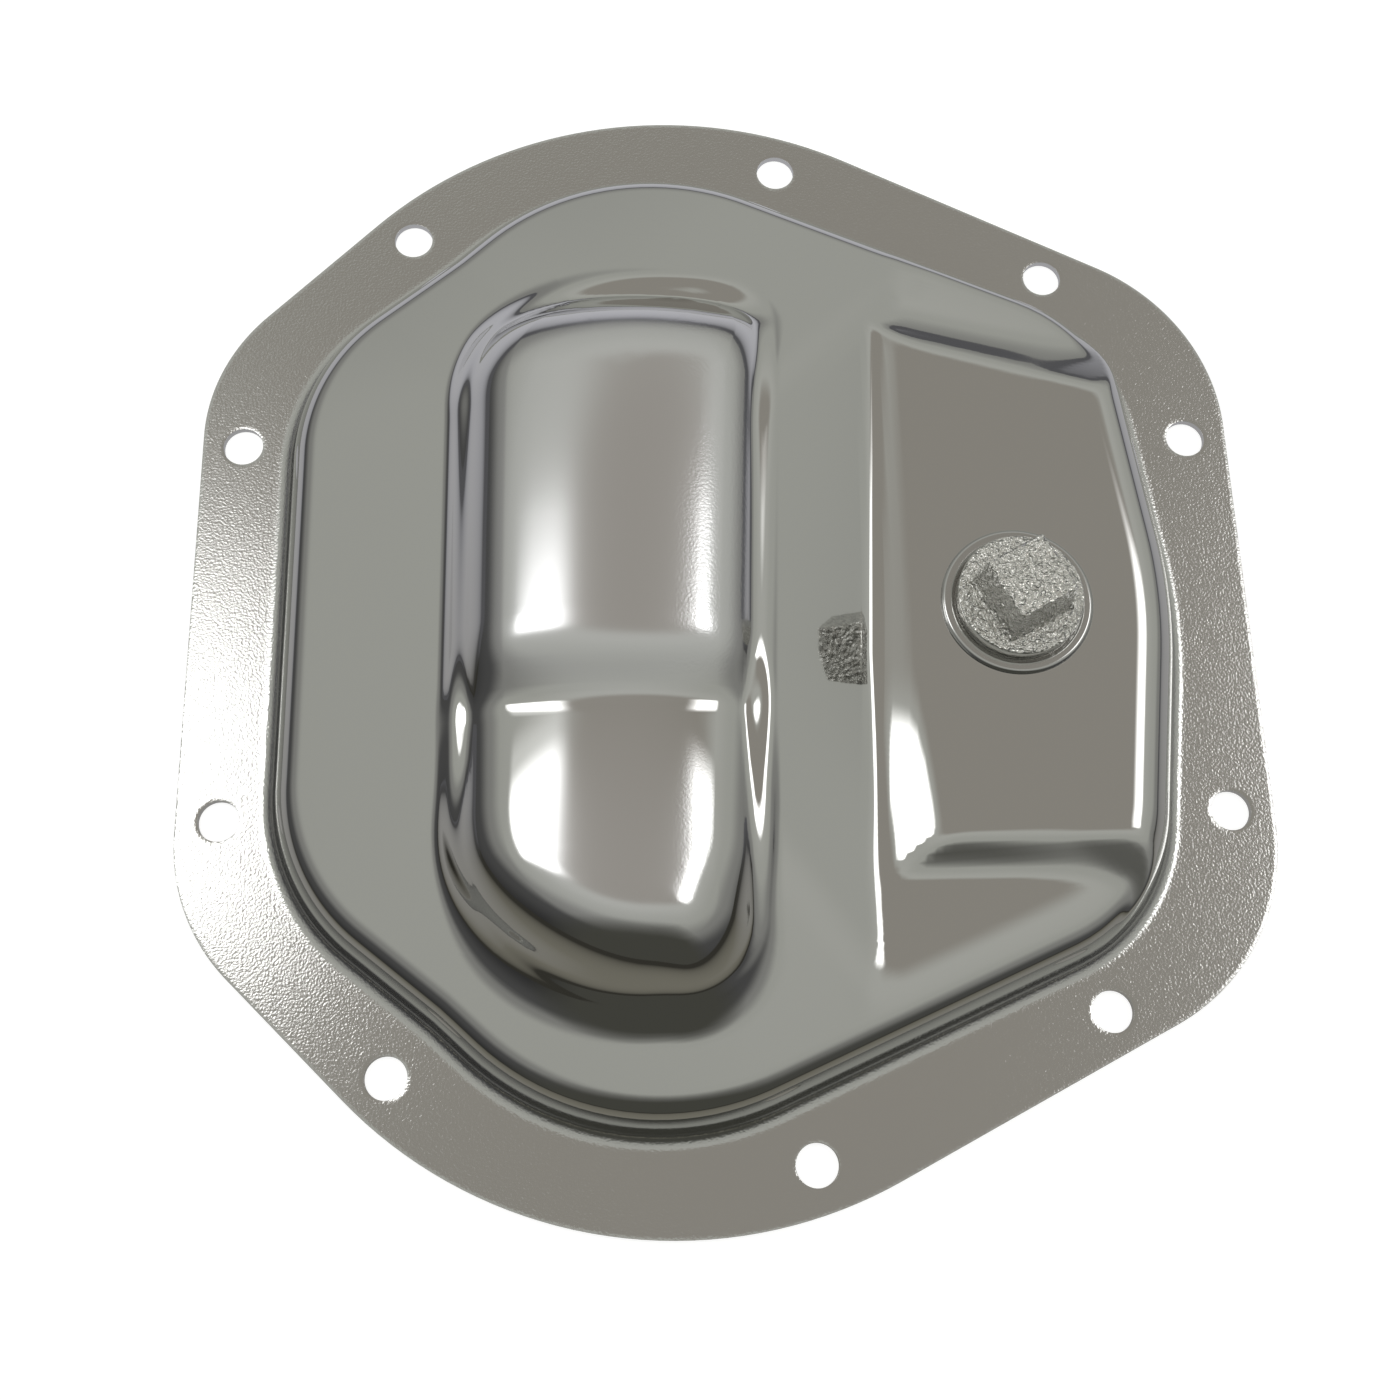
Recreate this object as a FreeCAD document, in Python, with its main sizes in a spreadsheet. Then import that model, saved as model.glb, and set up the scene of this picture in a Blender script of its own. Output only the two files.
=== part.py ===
import FreeCAD, Part
import math
import os

# Differential cover: one chromed pressing with a bolt flange, a dome with a two-lobed ring gear hump
# and a raised filler pocket, a threaded bung brazed into the pocket and a square-head pipe plug in it.
# Millimetres. Z = 0 is the gasket face, the dome rises along +Z, and the origin is the centre of the
# flange. The flange and the dome wall are even about the X axis. The lower end is towards -Y.

V = FreeCAD.Vector
os.makedirs("parts", exist_ok=True)
doc = FreeCAD.newDocument("differential_cover")
sheet = doc.addObject("Spreadsheet::Sheet", "sizes")

SIZES = [
    ("sheet_thickness", 1.6),
    # flange outline: upright sides, steep diagonals at the left, shallow ones at the right, round ends
    ("flange_half_width", 119.55),
    ("flange_left_corner_y", 65.3),
    ("flange_right_corner_y", 78.0),
    ("flange_left_angle", 45.0),
    ("flange_right_angle", 26.7),
    ("flange_left_radius", 44.0),
    ("flange_end_radius", 99.0),
    ("flange_right_radius", 48.0),
    ("flange_left_rise", "=tan(flange_left_angle * 1deg)"),
    ("flange_right_rise", "=tan(flange_right_angle * 1deg)"),
    ("flange_end_x", "=(flange_right_corner_y - flange_left_corner_y - flange_half_width * (flange_left_rise"
                     " - flange_right_rise)) / (flange_left_rise + flange_right_rise)"),
    # bolt holes, in pairs above and below the X axis. An edge is what the flange has outside the centre
    ("bolt_hole_dia", 9.0),
    ("left_bolt_edge", 9.2),
    ("left_bolt_x", "=left_bolt_edge - flange_half_width"),
    ("left_bolt_y", 44.3),
    ("upper_left_bolt_edge", 9.19),
    ("upper_left_bolt_share", 0.39063),
    ("upper_left_bolt_x", "=-flange_half_width * (1 - upper_left_bolt_share)"),
    ("upper_left_bolt_y", "=flange_left_corner_y + (flange_half_width + upper_left_bolt_x) * flange_left_rise"
                          " - upper_left_bolt_edge / cos(flange_left_angle * 1deg)"),
    ("end_bolt_edge", 10.86),
    ("end_bolt_from_end", 46.53),
    ("end_bolt_x", "=flange_end_x + end_bolt_from_end"),
    ("end_bolt_y", "=flange_right_corner_y + (flange_half_width - end_bolt_x) * flange_right_rise"
                   " - end_bolt_edge / cos(flange_right_angle * 1deg)"),
    ("upper_right_bolt_edge", 8.816),
    ("upper_right_bolt_share", 0.33542),
    ("upper_right_bolt_x", "=flange_half_width * (1 - upper_right_bolt_share)"),
    ("upper_right_bolt_y", "=flange_right_corner_y + (flange_half_width - upper_right_bolt_x)"
                           " * flange_right_rise - upper_right_bolt_edge / cos(flange_right_angle * 1deg)"),
    ("right_bolt_edge", 9.6),
    ("right_bolt_x", "=flange_half_width - right_bolt_edge"),
    ("right_bolt_y", 45.1),
    # foot of the dome wall, where the flat of the flange ends
    ("bolt_head_clearance", 10.2),
    ("foot_left_margin", 17.55),
    ("foot_left_x", "=foot_left_margin - flange_half_width"),
    ("foot_right_margin", 14.75),
    ("foot_right_x", "=flange_half_width - foot_right_margin"),
    ("foot_right_corner_margin", 24.25),
    ("foot_right_corner_x", "=flange_half_width - foot_right_corner_margin"),
    ("foot_right_corner_drop", 5.3),
    ("foot_right_corner_y", "=flange_right_corner_y - foot_right_corner_drop"),
    ("foot_side_angle", 39.0),
    ("foot_left_angle", 43.0),
    ("foot_right_angle", 23.5),
    ("foot_left_radius", 50.0),
    ("foot_notch_radius", 30.0),
    ("foot_end_radius", 63.7),
    ("foot_right_radius", 42.0),
    ("foot_bend_radius", 120.0),
    ("foot_fillet", 4.0),
    ("wall_height", 15.0),
    ("wall_draft", 15.0),
    ("wall_top_fillet", 7.0),
    # skirt that slopes from the wall up to the hump, and the valley between the hump and the pocket
    ("skirt_inset", 11.0),
    ("skirt_slope", 22.0),
    ("skirt_root", 1.0),
    ("skirt_top_z", 32.0),
    ("valley_slope", 31.0),
    # ring gear hump, its outline taken at the height of the wall. Its radii are shares of its width, and
    # it ends this far inside the point where the straight sides of the foot outline would meet
    ("hump_left_share", 0.53952),
    ("hump_left_x", "=-flange_half_width * hump_left_share"),
    ("hump_right_share", 0.13802),
    ("hump_upper_right_x", "=flange_half_width * hump_right_share"),
    ("hump_taper", 6.0),
    ("hump_lower_right_x", "=hump_upper_right_x - hump_taper"),
    ("hump_width", "=hump_upper_right_x - hump_left_x"),
    ("hump_upper_setback", 38.5),
    ("hump_lower_setback", 32.0),
    ("hump_large_share", 0.5432),
    ("hump_large_radius", "=hump_width * hump_large_share"),
    ("hump_small_share", 0.2716),
    ("hump_small_radius", "=hump_width * hump_small_share"),
    ("hump_draft", 16.0),
    ("upper_lobe_z", 46.5),
    ("lower_lobe_z", 42.0),
    ("lobe_crown_share", 1.852),
    ("lobe_crown_radius", "=hump_width * lobe_crown_share"),
    ("lobe_edge_fillet", 7.0),
    ("waist_y", -27.5),
    ("waist_overlap", 12.0),
    ("ramp_lead", 9.0),
    ("ramp_angle", 45.0),
    # filler pocket
    ("pocket_z", 23.0),
    ("valley_width", 15.0),
    ("pocket_left_x", "=hump_upper_right_x + valley_width"),
    ("valley_overlap", 1.5),
    ("valley_x", "=pocket_left_x + valley_overlap"),
    ("pocket_end_margin", 7.7),
    ("pocket_end_y", "=foot_right_corner_y - pocket_end_margin"),
    ("pocket_slope", 37.0),
    ("pocket_wall_fillet", 13.0),
    ("pocket_rim_fillet", 6.0),
    ("pocket_corner_radius", 9.0),
    # threaded bung and its plug
    ("plug_share", 0.51192),
    ("plug_x", "=flange_half_width * plug_share"),
    ("plug_y", -3.7),
    ("thread_dia", 26.8),
    ("thread_taper_angle", 1.79),
    ("thread_length", 14.0),
    ("plug_rise", 3.7),
    ("plug_chamfer", 0.6),
    ("square_width", 15.9),
    ("square_height", 11.0),
    ("square_turn", -28.0),
    ("square_chamfer", 0.7),
    ("bung_dia", 30.0),
    ("bung_length", 12.0),
    ("lip_dia", 33.0),
    ("lip_height", 0.8),
    ("lip_chamfer", 0.5),
]

for row, (name, value) in enumerate(SIZES, start=1):
    sheet.set(f"A{row}", name)
    sheet.set(f"B{row}", str(value))
    sheet.setAlias(f"B{row}", name)
doc.recompute()


def size(name):
    """Value of a size, also where the sheet works it out from others."""
    return float(sheet.get(name))


def tangent(degrees):
    return math.tan(math.radians(degrees))


def rounded_wire(corners, level):
    """Closed wire through (x, y, radius) corners at one height, each corner a tangent arc."""
    points = [V(x, y, level) for x, y, _ in corners]
    arcs = []
    for number, (x, y, radius) in enumerate(corners):
        here = points[number]
        back = (points[number - 1] - here).normalize()
        ahead = (points[(number + 1) % len(points)] - here).normalize()
        half = back.getAngle(ahead) / 2
        middle = (back + ahead).normalize()
        reach = radius / math.tan(half)
        crown = here + middle * (radius / math.sin(half) - radius)
        arcs.append((here + back * reach, crown, here + ahead * reach))
    edges = []
    for number, (start, crown, end) in enumerate(arcs):
        edges.append(Part.Arc(start, crown, end).toShape())
        edges.append(Part.makeLine(end, arcs[(number + 1) % len(arcs)][0]))
    return Part.Wire(edges)


def mirrored(lower, middle=()):
    """Corners of an outline that is even about the X axis, from its lower half."""
    upper = [(x, -y, radius) for x, y, radius in reversed(lower)]
    return list(lower) + list(middle) + upper


def apex(left_x, left_y, left_angle, right_x, right_y, right_angle):
    """Where the line that falls away from the left point meets the one that falls from the right."""
    fall_left = tangent(left_angle)
    fall_right = tangent(right_angle)
    x = (left_y - right_y + left_x * fall_left + right_x * fall_right) / (fall_left + fall_right)
    return x, left_y - (x - left_x) * fall_left


def profile(name, wire):
    feature = doc.addObject("Part::Feature", name)
    feature.Shape = wire
    return feature


def extrusion(name, base, direction, length, draft=None):
    """Solid made by drawing a profile out. Length and draft are expressions on the sheet."""
    feature = doc.addObject("Part::Extrusion", name)
    feature.Base = base
    feature.DirMode = "Custom"
    feature.Dir = direction
    feature.Solid = True
    feature.setExpression("LengthFwd", length)
    if draft:
        feature.setExpression("TaperAngle", draft)
    return feature


def joined(kind, name, shapes):
    feature = doc.addObject(kind, name)
    feature.Shapes = shapes
    feature.Refine = True
    return feature


def cut(name, base, tool):
    feature = doc.addObject("Part::Cut", name)
    feature.Base = base
    feature.Tool = tool
    return feature


def rounded_edges(name, base, radius_of):
    """Fillet of every edge that radius_of(edge) gives a radius."""
    doc.recompute()
    edges = []
    for number, edge in enumerate(base.Shape.Edges, start=1):
        radius = radius_of(edge)
        if radius:
            edges.append((number, radius, radius))
    feature = doc.addObject("Part::Fillet", name)
    feature.Base = base
    feature.Edges = edges
    return feature


def filleted(name, base, radius, chosen):
    """Fillet of one radius on the edges for which chosen(edge) is true."""
    return rounded_edges(name, base, lambda edge: radius if chosen(edge) else 0)


def middle_of(edge):
    return edge.valueAt((edge.FirstParameter + edge.LastParameter) / 2)


def lowest(edge):
    return edge.BoundBox.ZMin


def flange_corners():
    half = size("flange_half_width")
    left_y = -size("flange_left_corner_y")
    right_y = -size("flange_right_corner_y")
    end = apex(-half, left_y, size("flange_left_angle"), half, right_y, size("flange_right_angle"))
    return mirrored([
        (-half, left_y, size("flange_left_radius")),
        (end[0], end[1], size("flange_end_radius")),
        (half, right_y, size("flange_right_radius")),
    ])


def foot_corners():
    """The wall keeps clear of every bolt head, and bends round the ones at the upper and lower left."""
    step = size("bolt_head_clearance") / math.sqrt(2)
    notch_x = size("upper_left_bolt_x") + step
    notch_y = -(size("upper_left_bolt_y") - step)
    left_x = size("foot_left_x")
    left_y = notch_y + (notch_x - left_x) * tangent(size("foot_side_angle"))
    right_x = size("foot_right_corner_x")
    right_y = -size("foot_right_corner_y")
    end = apex(notch_x, notch_y, size("foot_left_angle"), right_x, right_y, size("foot_right_angle"))
    lower = [
        (left_x, left_y, size("foot_left_radius")),
        (notch_x, notch_y, size("foot_notch_radius")),
        (end[0], end[1], size("foot_end_radius")),
        (right_x, right_y, size("foot_right_radius")),
    ]
    return mirrored(lower, [(size("foot_right_x"), 0.0, size("foot_bend_radius"))])


THICK = size("sheet_thickness")
DRAFT = size("wall_draft")
WALL = size("wall_height")
# Where the straight ends of the foot outline would meet, above and below, and so how far the hump runs
FOOT_END_Y = -foot_corners()[2][1]
HUMP_LOWER_Y = size("hump_lower_setback") - FOOT_END_Y
HUMP_UPPER_Y = FOOT_END_Y - size("hump_upper_setback")
# Reach of the forming blocks, past every side and above every surface of the part
BEYOND = 2 * size("flange_half_width")
ABOVE = 1.5 * size("upper_lobe_z")
# How closely an edge is found by its height, and how far a cutter runs past what it cuts
NEAR = 0.01
RUN_OUT = 1.0


def slanted(inset, slope):
    """Vertical distance between two parallel planes of this slope that lie inset apart."""
    return inset / math.cos(math.radians(slope))


def prism(name, corners, direction, length):
    """Solid between straight corners, drawn out along one axis by a plain length."""
    feature = doc.addObject("Part::Extrusion", name)
    feature.Base = profile(f"{name}_section", Part.makePolygon(corners + corners[:1]))
    feature.DirMode = "Custom"
    feature.Dir = direction
    feature.Solid = True
    feature.LengthFwd = length
    return feature


def wall_outline(side, inset):
    """Outline of the wall on the gasket plane, inside the foot fillet."""
    setback = size("foot_fillet") * tangent((90 - DRAFT) / 2) - THICK * tangent(DRAFT)
    wire = rounded_wire(foot_corners(), 0.0).makeOffset2D(-setback - slanted(inset, DRAFT))
    return profile(f"{side}_wall_outline", wire)


def wall(side, inset, outline):
    height = "sizes.wall_height" if side == "outer" else "sizes.wall_height - sizes.sheet_thickness"
    block = extrusion(f"{side}_wall_block", outline, V(0, 0, 1), height, "-sizes.wall_draft")
    return filleted(f"{side}_wall", block, size("wall_top_fillet") - inset,
                    lambda edge: lowest(edge) > WALL - inset - NEAR)


def skirt(side, inset):
    """Even slope inwards from the wall, like a hipped roof, cut back by the valley beside the pocket."""
    slope = size("skirt_slope")
    level = WALL - inset - size("skirt_root")
    inside = size("skirt_inset") + (level - WALL + slanted(inset, slope)) / tangent(slope)
    wire = rounded_wire(foot_corners(), level).makeOffset2D(-inside)
    height = "sizes.skirt_top_z - sizes.wall_height + sizes.skirt_root"
    roof = extrusion(f"{side}_skirt_roof", profile(f"{side}_skirt_outline", wire), V(0, 0, 1), height,
                     "-(90 - sizes.skirt_slope)")
    valley = size("valley_slope")
    low_x = size("valley_x") + (WALL - slanted(inset, valley)) / tangent(valley)
    high_x = low_x - ABOVE / tangent(valley)
    corners = [
        V(-BEYOND, -BEYOND, 0),
        V(low_x, -BEYOND, 0),
        V(high_x, -BEYOND, ABOVE),
        V(-BEYOND, -BEYOND, ABOVE),
    ]
    side_of_valley = prism(f"{side}_valley", corners, V(0, 1, 0), 2 * BEYOND)
    return joined("Part::MultiCommon", f"{side}_skirt", [roof, side_of_valley])


def hump_outline(side, inset):
    large = size("hump_large_radius")
    small = size("hump_small_radius")
    wire = rounded_wire([
        (size("hump_left_x"), HUMP_LOWER_Y, large),
        (size("hump_lower_right_x"), HUMP_LOWER_Y, small),
        (size("hump_upper_right_x"), HUMP_UPPER_Y, small),
        (size("hump_left_x"), HUMP_UPPER_Y, large),
    ], WALL - inset)
    if inset:
        wire = wire.makeOffset2D(-slanted(inset, size("hump_draft")))
    return profile(f"{side}_hump_outline", wire)


def crown(side, lobe, inset, end_y):
    """Block along Y, up to end_y, whose top is the shallow arc that crowns a lobe."""
    middle = (size("hump_left_x") + size("hump_upper_right_x")) / 2
    reach = size("hump_upper_right_x") - size("hump_left_x")
    radius = size("lobe_crown_radius") - inset
    top = size(f"{lobe}_lobe_z") - inset
    drop = radius - math.sqrt(radius ** 2 - reach ** 2)
    low_left = V(middle - reach, -BEYOND, 0)
    low_right = V(middle + reach, -BEYOND, 0)
    left = low_left + V(0, 0, top - drop)
    right = low_right + V(0, 0, top - drop)
    section = Part.Wire([
        Part.makeLine(low_left, low_right),
        Part.makeLine(low_right, right),
        Part.Arc(right, V(middle, -BEYOND, top), left).toShape(),
        Part.makeLine(left, low_left),
    ])
    feature = doc.addObject("Part::Extrusion", f"{side}_{lobe}_crown")
    feature.Base = profile(f"{side}_{lobe}_crown_section", section)
    feature.DirMode = "Custom"
    feature.Dir = V(0, 1, 0)
    feature.Solid = True
    feature.LengthFwd = end_y + BEYOND
    return feature


def ramp(side, inset):
    """Block along X that starts the upper lobe at the waist and ends it with a ramp at its far corners."""
    angle = size("ramp_angle")
    edge_y = HUMP_UPPER_Y - size("hump_small_radius") - size("ramp_lead")
    edge_y -= inset / math.sin(math.radians(angle))
    foot_y = edge_y + size("upper_lobe_z") / tangent(angle)
    head_y = edge_y - (ABOVE - size("upper_lobe_z")) / tangent(angle)
    waist = size("waist_y") + inset
    corners = [
        V(-BEYOND, waist, 0),
        V(-BEYOND, foot_y, 0),
        V(-BEYOND, head_y, ABOVE),
        V(-BEYOND, waist, ABOVE),
    ]
    return prism(f"{side}_ramp", corners, V(1, 0, 0), 2 * BEYOND)


def lobes(side, inset):
    """The hump's two lobes. The lower one runs on into the upper one, past the waist."""
    block = extrusion(f"{side}_hump_block", hump_outline(side, inset), V(0, 0, 1), "sizes.upper_lobe_z",
                      "-sizes.hump_draft")
    radius = size("lobe_edge_fillet") - inset
    upper_rim = size("upper_lobe_z") - inset - radius
    lower_rim = size("lower_lobe_z") - inset - radius
    overlap_y = size("waist_y") + size("waist_overlap")
    upper = joined("Part::MultiCommon", f"{side}_upper_lobe_block", [
        block,
        crown(side, "upper", inset, BEYOND),
        ramp(side, inset),
    ])
    lower = joined("Part::MultiCommon", f"{side}_lower_lobe_block", [
        block,
        crown(side, "lower", inset, overlap_y),
    ])
    return [
        filleted(f"{side}_upper_lobe", upper, radius, lambda edge: lowest(edge) > upper_rim),
        filleted(f"{side}_lower_lobe", lower, radius,
                 lambda edge: lowest(edge) > lower_rim and edge.BoundBox.YMin < overlap_y - NEAR),
    ]


def pocket_frame(side, inset, level):
    """Outline of the pocket's three slopes at one height. Its fourth side lies outside the wall."""
    slope = size("pocket_slope")
    spread = (WALL - level - slanted(inset, slope)) / tangent(slope)
    left = size("pocket_left_x") - spread
    reach = size("pocket_end_y") + spread
    radius = size("pocket_corner_radius")
    wire = rounded_wire([
        (left, -reach, radius), (BEYOND, -reach, radius), (BEYOND, reach, radius), (left, reach, radius),
    ], level)
    return profile(f"{side}_pocket_outline_{round(level)}", wire)


def pocket(side, inset, outline):
    """Raised flat for the bung: its outer side is the wall itself, taken higher."""
    height = size("pocket_z") - inset
    slopes = doc.addObject("Part::Loft", f"{side}_pocket_slopes")
    slopes.Sections = [pocket_frame(side, inset, 0.0), pocket_frame(side, inset, height + size("pocket_z"))]
    slopes.Solid = True
    slopes.Ruled = True
    length = "sizes.pocket_z" if side == "outer" else "sizes.pocket_z - sizes.sheet_thickness"
    block = extrusion(f"{side}_pocket_wall_block", outline, V(0, 0, 1), length, "-sizes.wall_draft")
    raised = filleted(f"{side}_pocket_wall", block, size("pocket_wall_fillet") - inset,
                      lambda edge: lowest(edge) > height - NEAR)
    common = joined("Part::MultiCommon", f"{side}_pocket_block", [raised, slopes])
    bung_side = size("plug_x") + size("lip_dia") / 2
    return filleted(f"{side}_pocket", common, size("pocket_rim_fillet") - inset,
                    lambda edge: lowest(edge) > height - NEAR and middle_of(edge).x < bung_side)


def form(side, inset):
    """Everything above the flange as one block: the outside of the dome, or the hollow inside it."""
    outline = wall_outline(side, inset)
    return joined("Part::MultiFuse", f"{side}_form", [
        wall(side, inset, outline),
        skirt(side, inset),
        *lobes(side, inset),
        pocket(side, inset, outline),
    ])


def flange():
    outline = profile("flange_outline", rounded_wire(flange_corners(), 0.0))
    return extrusion("flange_plate", outline, V(0, 0, 1), "sizes.sheet_thickness")


BOLTS = ["left_bolt", "upper_left_bolt", "end_bolt", "upper_right_bolt", "right_bolt"]


def bolt_hole(name, side):
    hole = doc.addObject("Part::Cylinder", f"{name}_hole_{'above' if side > 0 else 'below'}")
    hole.setExpression("Radius", "sizes.bolt_hole_dia / 2")
    hole.Height = THICK + 2 * RUN_OUT
    hole.setExpression("Placement.Base.x", f"sizes.{name}_x")
    hole.setExpression("Placement.Base.y", f"{side} * sizes.{name}_y")
    hole.Placement.Base.z = -RUN_OUT
    return hole


def foot_radius_of(edge):
    """The wall runs into the flange with one radius outside and a larger one, by the sheet, inside."""
    middle = middle_of(edge)
    flat = abs(edge.BoundBox.ZMax - edge.BoundBox.ZMin) < NEAR
    if not flat or not FOOT_FACE.isInside(V(middle.x, middle.y, 0), NEAR, True):
        return 0
    if abs(middle.z - THICK) < NEAR:
        return size("foot_fillet")
    if abs(middle.z) < NEAR:
        return size("foot_fillet") + THICK
    return 0


FOOT_FACE = Part.Face(rounded_wire(foot_corners(), 0.0))


def cover():
    """The pressing: flange and outer form, hollowed by the inner form, with its holes and foot radii."""
    blank = joined("Part::MultiFuse", "cover_blank", [flange(), form("outer", 0.0)])
    hollow = cut("cover_hollowed", blank, form("inner", THICK))
    pressed = rounded_edges("cover_pressed", hollow, foot_radius_of)
    holes = [bolt_hole(name, side) for name in BOLTS for side in (1, -1)]
    bung_hole = round_bar("bung_hole", "sizes.bung_dia / 2", "0", f"sizes.pocket_z + {RUN_OUT}")
    pierced = cut("cover", pressed, joined("Part::MultiFuse", "cover_holes", holes + [bung_hole]))
    return pierced


def on_plug_axis(feature, level):
    feature.setExpression("Placement.Base.x", "sizes.plug_x")
    feature.setExpression("Placement.Base.y", "sizes.plug_y")
    feature.setExpression("Placement.Base.z", level)
    return feature


def round_bar(name, radius, level, height):
    bar = doc.addObject("Part::Cylinder", name)
    bar.setExpression("Radius", radius)
    bar.setExpression("Height", height)
    return on_plug_axis(bar, level)


def thread_cone(name, length):
    """Taper of the pipe thread, full size at the top of the bung's lip."""
    cone = doc.addObject("Part::Cone", name)
    cone.setExpression("Radius1", f"sizes.thread_dia / 2 - {length} * tan(sizes.thread_taper_angle * 1deg)")
    cone.setExpression("Radius2", "sizes.thread_dia / 2")
    cone.setExpression("Height", length)
    return on_plug_axis(cone, f"sizes.pocket_z + sizes.lip_height - {length}")


def chamfered(name, base, setback, chosen):
    doc.recompute()
    edges = []
    for number, edge in enumerate(base.Shape.Edges, start=1):
        if chosen(edge):
            edges.append((number, setback, setback))
    feature = doc.addObject("Part::Chamfer", name)
    feature.Base = base
    feature.Edges = edges
    return feature


def fill_bung():
    """Turned ring brazed into the pocket: its lip seats on the sheet, its body reaches inside."""
    top = "sizes.pocket_z + sizes.lip_height"
    body = round_bar("bung_body", "sizes.bung_dia / 2", f"{top} - sizes.bung_length", "sizes.bung_length")
    lip = round_bar("bung_lip", "sizes.lip_dia / 2", "sizes.pocket_z", "sizes.lip_height")
    blank = joined("Part::MultiFuse", "bung_blank", [body, lip])
    level = size("pocket_z") + size("lip_height")
    broken = chamfered("bung_turned", blank, size("lip_chamfer"), lambda edge: lowest(edge) > level - NEAR)
    return cut("fill_bung", broken, thread_cone("bung_thread", "sizes.bung_length"))


def fill_plug():
    """Square-head pipe plug, screwed into the bung as far as its taper lets it."""
    lip_top = "sizes.pocket_z + sizes.lip_height"
    thread = thread_cone("plug_thread", "sizes.thread_length")
    collar = round_bar("plug_collar", "sizes.thread_dia / 2", lip_top, "sizes.plug_rise")
    level = size("pocket_z") + size("lip_height") + size("plug_rise")
    broken = chamfered("plug_collar_turned", collar, size("plug_chamfer"),
                       lambda edge: lowest(edge) > level - NEAR)
    square = doc.addObject("Part::Box", "plug_square")
    for side in ("Length", "Width"):
        square.setExpression(side, "sizes.square_width")
    square.setExpression("Height", "sizes.square_height")
    turn = math.radians(size("square_turn"))
    half = size("square_width") / 2
    across = half * math.cos(turn)
    along = half * math.sin(turn)
    place = V(size("plug_x") - across + along, size("plug_y") - along - across, level)
    square.Placement = FreeCAD.Placement(place, FreeCAD.Rotation(V(0, 0, 1), size("square_turn")))
    top = level + size("square_height")
    broken_square = chamfered("plug_square_edged", square, size("square_chamfer"),
                              lambda edge: lowest(edge) > top - NEAR)
    return joined("Part::MultiFuse", "fill_plug", [thread, broken, broken_square])


NODES = [cover(), fill_bung(), fill_plug()]
doc.recompute()

for feature in doc.Objects:
    shape = getattr(feature, "Shape", None)
    if {"Invalid", "Error"} & set(feature.State):
        raise RuntimeError(f"{feature.Name} did not build: {feature.State}")
    if shape is not None and (shape.isNull() or not shape.isValid()):
        raise RuntimeError(f"{feature.Name} has no valid shape")

for node in NODES:
    node.Label = node.Name
    if len(node.Shape.Solids) != 1:
        raise RuntimeError(f"{node.Label} isn't one solid")
    node.Shape.exportStep(f"parts/{node.Label}.step")
    print(node.Label, round(node.Shape.Volume), "mm3")
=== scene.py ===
import math

import bmesh
import bpy
import numpy as np
from mathutils import Matrix, Vector, noise


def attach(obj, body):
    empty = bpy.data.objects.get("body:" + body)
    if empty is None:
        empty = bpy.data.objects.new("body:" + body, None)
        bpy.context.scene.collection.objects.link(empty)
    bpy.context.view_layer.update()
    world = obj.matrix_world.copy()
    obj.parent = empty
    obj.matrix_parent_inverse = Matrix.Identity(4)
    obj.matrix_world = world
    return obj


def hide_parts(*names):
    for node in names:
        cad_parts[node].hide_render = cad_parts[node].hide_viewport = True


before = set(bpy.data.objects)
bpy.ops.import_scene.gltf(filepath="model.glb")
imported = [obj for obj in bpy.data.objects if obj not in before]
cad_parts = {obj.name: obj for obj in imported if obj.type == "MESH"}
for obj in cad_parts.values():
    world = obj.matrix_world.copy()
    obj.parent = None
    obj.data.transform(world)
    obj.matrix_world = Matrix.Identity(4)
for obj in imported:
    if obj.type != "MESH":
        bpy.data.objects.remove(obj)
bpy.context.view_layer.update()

# Differential cover lying on its flange. Sizes are in millimetres in the frame of the part: Z = 0 is
# the gasket face, +X runs from the hump to the filler plug, +Y along the hump to its higher lobe.
MM = 0.001
# Straight lines that only have to end beyond the cover run on for this length
FAR = 400.0

# Sheet, and the flange with its upper row of bolts. The flange is even about the X axis
SHEET = 1.6
HALF_WIDTH = 119.55
FLANGE_CORNERS = [(-HALF_WIDTH, 65.3, 44.0), (HALF_WIDTH, 78.0, 48.0)]
FLANGE_ANGLES = (45.0, 26.7)
FLANGE_END_RADIUS = 99.0
BOLT_HOLE_RADIUS = 4.5
BOLTS = [(-110.35, 44.3), (-72.85, 99.0), (15.45, 118.2), (79.45, 88.3), (109.95, 45.1)]

# Foot of the dome wall, and the profile that rises inwards from it. The valley begins further than
# SKIRT_ONLY inside the foot, and the pocket further than WALL_ONLY
BOLT_HEAD_CLEARANCE = 10.2
FOOT_LEFT_X = -102.0
FOOT_RIGHT_X = 104.8
FOOT_RIGHT_CORNER = (95.3, 72.7)
FOOT_SIDE_ANGLE = 39.0
FOOT_ANGLES = (43.0, 23.5)
FOOT_RADII = {"left": 50.0, "notch": 30.0, "end": 63.7, "right": 42.0, "bend": 120.0}
FOOT_FILLET = 4.0
WALL_DRAFT = 15.0
WALL_TOP = 15.0
SKIRT_INSET = 11.0
SKIRT_SLOPE = 22.0
KNEE_RADIUS = 11.0
WALL_ONLY = 4.0
SKIRT_ONLY = 6.0
# The skirt falls from the hump to a valley beside the pocket: its height at VALLEY_X and its slope, at the
# upper and at the lower end
VALLEY_X = 33.0
VALLEY_Z = (18.2, 15.2)
VALLEY_SLOPES = (34.0, 31.0)
VALLEY_CLIMB = 0.05
VALLEY_TURNS_FROM = -15.0
VALLEY_TURNS_OVER = 45.0
VALLEY_BLEND = 1.2
SKIRT_BLEND = 3.0

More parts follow.
